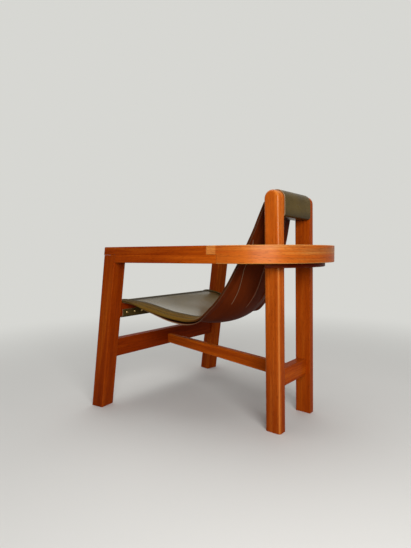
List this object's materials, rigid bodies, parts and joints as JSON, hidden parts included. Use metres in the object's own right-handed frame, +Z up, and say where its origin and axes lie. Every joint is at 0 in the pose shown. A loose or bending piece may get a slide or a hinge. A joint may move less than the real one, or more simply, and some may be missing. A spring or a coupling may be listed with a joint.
{
  "type": "sling lounge chair",
  "caption": "Lounge chair with a horseshoe-shaped wooden arm, raked front legs, upright rear posts and a leather sling seat hung between a seat rail and a round-topped head rail.",
  "frame": {"origin": "on the floor, in the middle of the chair's box", "axes": "+Z up, -Y the way the sitter looks, +X the sitter's left"},
  "size_m": [0.7062, 0.7876, 0.779],
  "materials": {
    "wood": "satin oiled, warm orange-brown",
    "dowel_wood": "bare",
    "leather_face": "smooth olive, low sheen",
    "leather_lining": "matte red-brown",
    "leather_cut": "raw cut edge, light tan",
    "nail_brass": "polished dome",
    "screw_steel": "zinc plated"
  },
  "bodies": {
    "root": {"front_leg_left": "wood", "front_leg_right": "wood", "arm_left": "wood", "arm_right": "wood", "arm_bow": "wood", "bow_plate": "wood", "rear_post_left": "wood", "rear_post_right": "wood", "head_rail": "wood", "rear_rail": "wood", "centre_stretcher": "wood", "front_stretcher": "wood", "seat_rail": "wood", "leg_dowel_left_1": "dowel_wood", "leg_dowel_left_2": "dowel_wood", "leg_dowel_right_1": "dowel_wood", "leg_dowel_right_2": "dowel_wood", "plate_screw_1": "screw_steel", "plate_screw_2": "screw_steel", "plate_screw_3": "screw_steel", "plate_screw_4": "screw_steel", "plate_screw_5": "screw_steel", "plate_screw_6": "screw_steel", "sling_face": "leather_face", "sling_lining": "leather_lining", "sling_hem_left": "leather_face", "sling_hem_right": "leather_face", "sling_dart_1": "leather_cut", "sling_dart_2": "leather_cut", "sling_dart_3": "leather_cut", "sling_dart_4": "leather_cut", "seat_nail_1": "nail_brass", "seat_nail_2": "nail_brass", "seat_nail_3": "nail_brass", "seat_nail_4": "nail_brass", "seat_nail_5": "nail_brass", "seat_nail_6": "nail_brass", "seat_nail_7": "nail_brass", "seat_nail_8": "nail_brass", "seat_nail_9": "nail_brass", "seat_nail_10": "nail_brass", "seat_nail_11": "nail_brass", "seat_nail_12": "nail_brass", "seat_nail_13": "nail_brass", "seat_nail_14": "nail_brass", "seat_nail_15": "nail_brass", "head_nail_1": "nail_brass", "head_nail_2": "nail_brass", "head_nail_3": "nail_brass", "head_nail_4": "nail_brass", "head_nail_5": "nail_brass"}
  },
  "joints": []
}
